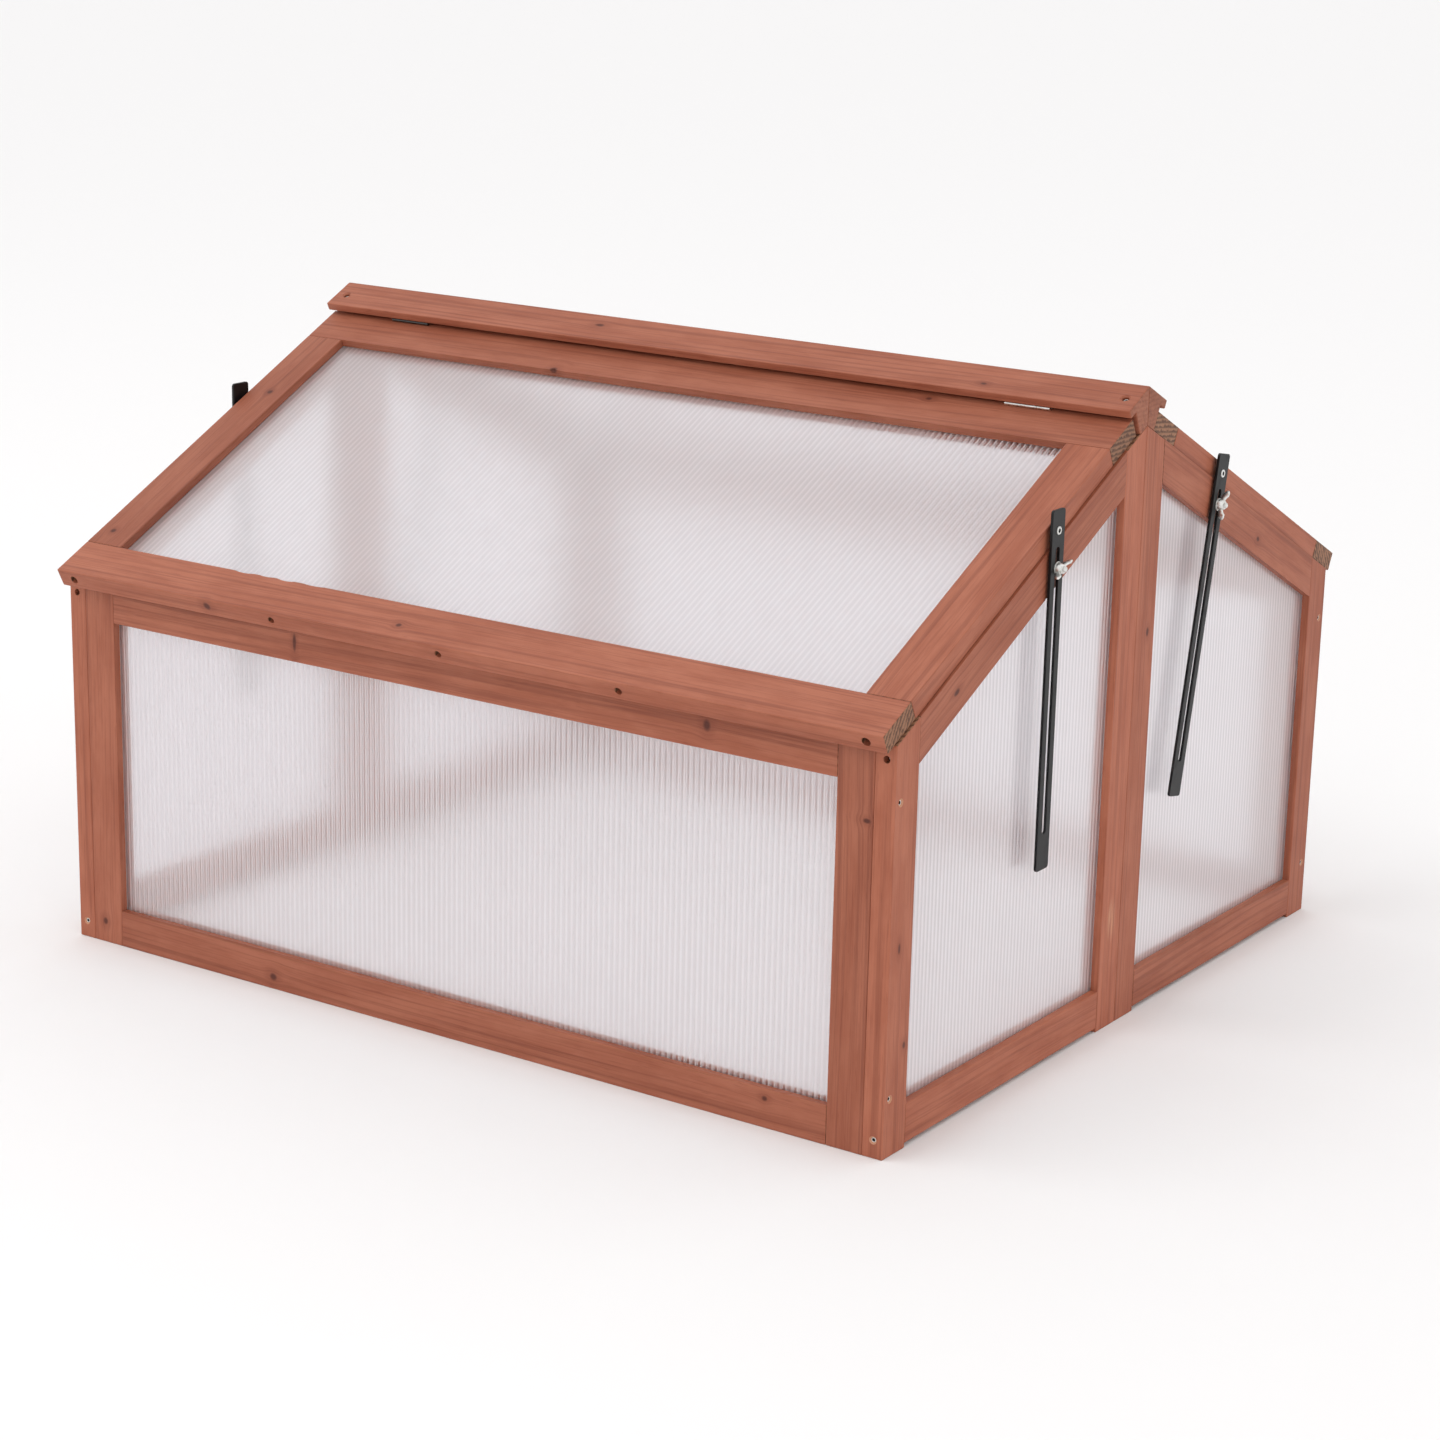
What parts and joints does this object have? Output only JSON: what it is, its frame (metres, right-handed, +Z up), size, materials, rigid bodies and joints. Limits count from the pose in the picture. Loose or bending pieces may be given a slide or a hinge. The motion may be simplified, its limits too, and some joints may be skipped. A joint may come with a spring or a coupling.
{
  "type": "portable greenhouse",
  "caption": "Low bottomless cold frame of stained wooden sticks and twin-wall sheets, gabled, with lids hinged at the ridge board and slotted metal stays.",
  "frame": {"origin": "on the ground under the middle of the frame", "axes": "+X along the ridge to the right-hand end, +Y from front to back, +Z up"},
  "size_m": [0.9272, 0.8362, 0.5826],
  "materials": {
    "rail_wood": "red-brown stained softwood, fine grain",
    "upright_wood": "red-brown stained softwood, fine grain",
    "ridge_wood": "red-brown stained softwood, fine grain",
    "twin_wall_sheet": "clear fluted twin-wall polycarbonate, milky",
    "black_steel": "black, semi-gloss",
    "zinc_steel": "zinc plated"
  },
  "bodies": {
    "frame": {"front_stiles": "upright_wood", "front_top_rail": "rail_wood", "front_bottom_rail": "rail_wood", "front_sheet": "twin_wall_sheet", "back_stiles": "upright_wood", "back_top_rail": "rail_wood", "back_bottom_rail": "rail_wood", "back_sheet": "twin_wall_sheet", "left_front_stile": "upright_wood", "left_back_stile": "upright_wood", "left_front_post": "upright_wood", "left_back_post": "upright_wood", "left_bottom_rails": "rail_wood", "left_rafters": "rail_wood", "left_sheets": "twin_wall_sheet", "right_front_stile": "upright_wood", "right_back_stile": "upright_wood", "right_front_post": "upright_wood", "right_back_post": "upright_wood", "right_bottom_rails": "rail_wood", "right_rafters": "rail_wood", "right_sheets": "twin_wall_sheet", "ridge_front_half": "ridge_wood", "ridge_back_half": "ridge_wood", "ridge_hinge_leaves": "zinc_steel"},
    "front_lid": {"front_lid_eave_rail": "rail_wood", "front_lid_top_rail": "rail_wood", "front_lid_left_stile": "upright_wood", "front_lid_right_stile": "upright_wood", "front_lid_sheet": "twin_wall_sheet", "front_lid_hinge_leaves": "zinc_steel"},
    "back_lid": {"back_lid_eave_rail": "rail_wood", "back_lid_top_rail": "rail_wood", "back_lid_left_stile": "upright_wood", "back_lid_right_stile": "upright_wood", "back_lid_sheet": "twin_wall_sheet", "back_lid_hinge_leaves": "zinc_steel"},
    "front_left_wing_bolt": {"front_left_bolt": "zinc_steel"},
    "front_left_stay": {"front_left_stay": "black_steel"},
    "front_right_wing_bolt": {"front_right_bolt": "zinc_steel"},
    "front_right_stay": {"front_right_stay": "black_steel"},
    "back_left_wing_bolt": {"back_left_bolt": "zinc_steel"},
    "back_left_stay": {"back_left_stay": "black_steel"},
    "back_right_wing_bolt": {"back_right_bolt": "zinc_steel"},
    "back_right_stay": {"back_right_stay": "black_steel"}
  },
  "joints": [
    {"name": "front_lid_hinge", "type": "hinge", "parent": "frame", "child": "front_lid", "pos_m": [0, -0.02841, 0.55692], "axis": [-1, 0, 0], "range_deg": [0, 60]},
    {"name": "back_lid_hinge", "type": "hinge", "parent": "frame", "child": "back_lid", "pos_m": [0, 0.02841, 0.55692], "axis": [1, 0, 0], "range_deg": [0, 60]},
    {"name": "front_left_bolt_turn", "type": "hinge", "parent": "frame", "child": "front_left_wing_bolt", "pos_m": [-0.45, -0.16, 0.45131], "axis": [-1, 0, 0], "range_deg": [0, 0.65]},
    {"name": "front_left_stay_slide", "type": "slide", "parent": "front_left_wing_bolt", "child": "front_left_stay", "axis": [0, 0, 1], "range_m": [0, 0.151]},
    {"name": "front_right_bolt_turn", "type": "hinge", "parent": "frame", "child": "front_right_wing_bolt", "pos_m": [0.45, -0.16, 0.45131], "axis": [-1, 0, 0], "range_deg": [0, 0.65]},
    {"name": "front_right_stay_slide", "type": "slide", "parent": "front_right_wing_bolt", "child": "front_right_stay", "axis": [0, 0, 1], "range_m": [0, 0.151]},
    {"name": "back_left_bolt_turn", "type": "hinge", "parent": "frame", "child": "back_left_wing_bolt", "pos_m": [-0.45, 0.13951, 0.45658], "axis": [1, 0, 0], "range_deg": [0, 7.73]},
    {"name": "back_left_stay_slide", "type": "slide", "parent": "back_left_wing_bolt", "child": "back_left_stay", "axis": [0, 0.1959, 0.9806], "range_m": [0, 0.1374]},
    {"name": "back_right_bolt_turn", "type": "hinge", "parent": "frame", "child": "back_right_wing_bolt", "pos_m": [0.45, 0.13951, 0.45658], "axis": [1, 0, 0], "range_deg": [0, 7.73]},
    {"name": "back_right_stay_slide", "type": "slide", "parent": "back_right_wing_bolt", "child": "back_right_stay", "axis": [0, 0.1959, 0.9806], "range_m": [0, 0.1374]}
  ],
  "couplings": [
    {"joint": "front_left_bolt_turn", "follows": "front_lid_hinge", "ratio": 0.010662},
    {"joint": "front_left_stay_slide", "follows": "front_lid_hinge", "m_per_rad": 0.14399},
    {"joint": "front_right_bolt_turn", "follows": "front_lid_hinge", "ratio": 0.010662},
    {"joint": "front_right_stay_slide", "follows": "front_lid_hinge", "m_per_rad": 0.14399},
    {"joint": "back_left_bolt_turn", "follows": "back_lid_hinge", "ratio": 0.12868},
    {"joint": "back_left_stay_slide", "follows": "back_lid_hinge", "m_per_rad": 0.13101},
    {"joint": "back_right_bolt_turn", "follows": "back_lid_hinge", "ratio": 0.12868},
    {"joint": "back_right_stay_slide", "follows": "back_lid_hinge", "m_per_rad": 0.13101}
  ]
}
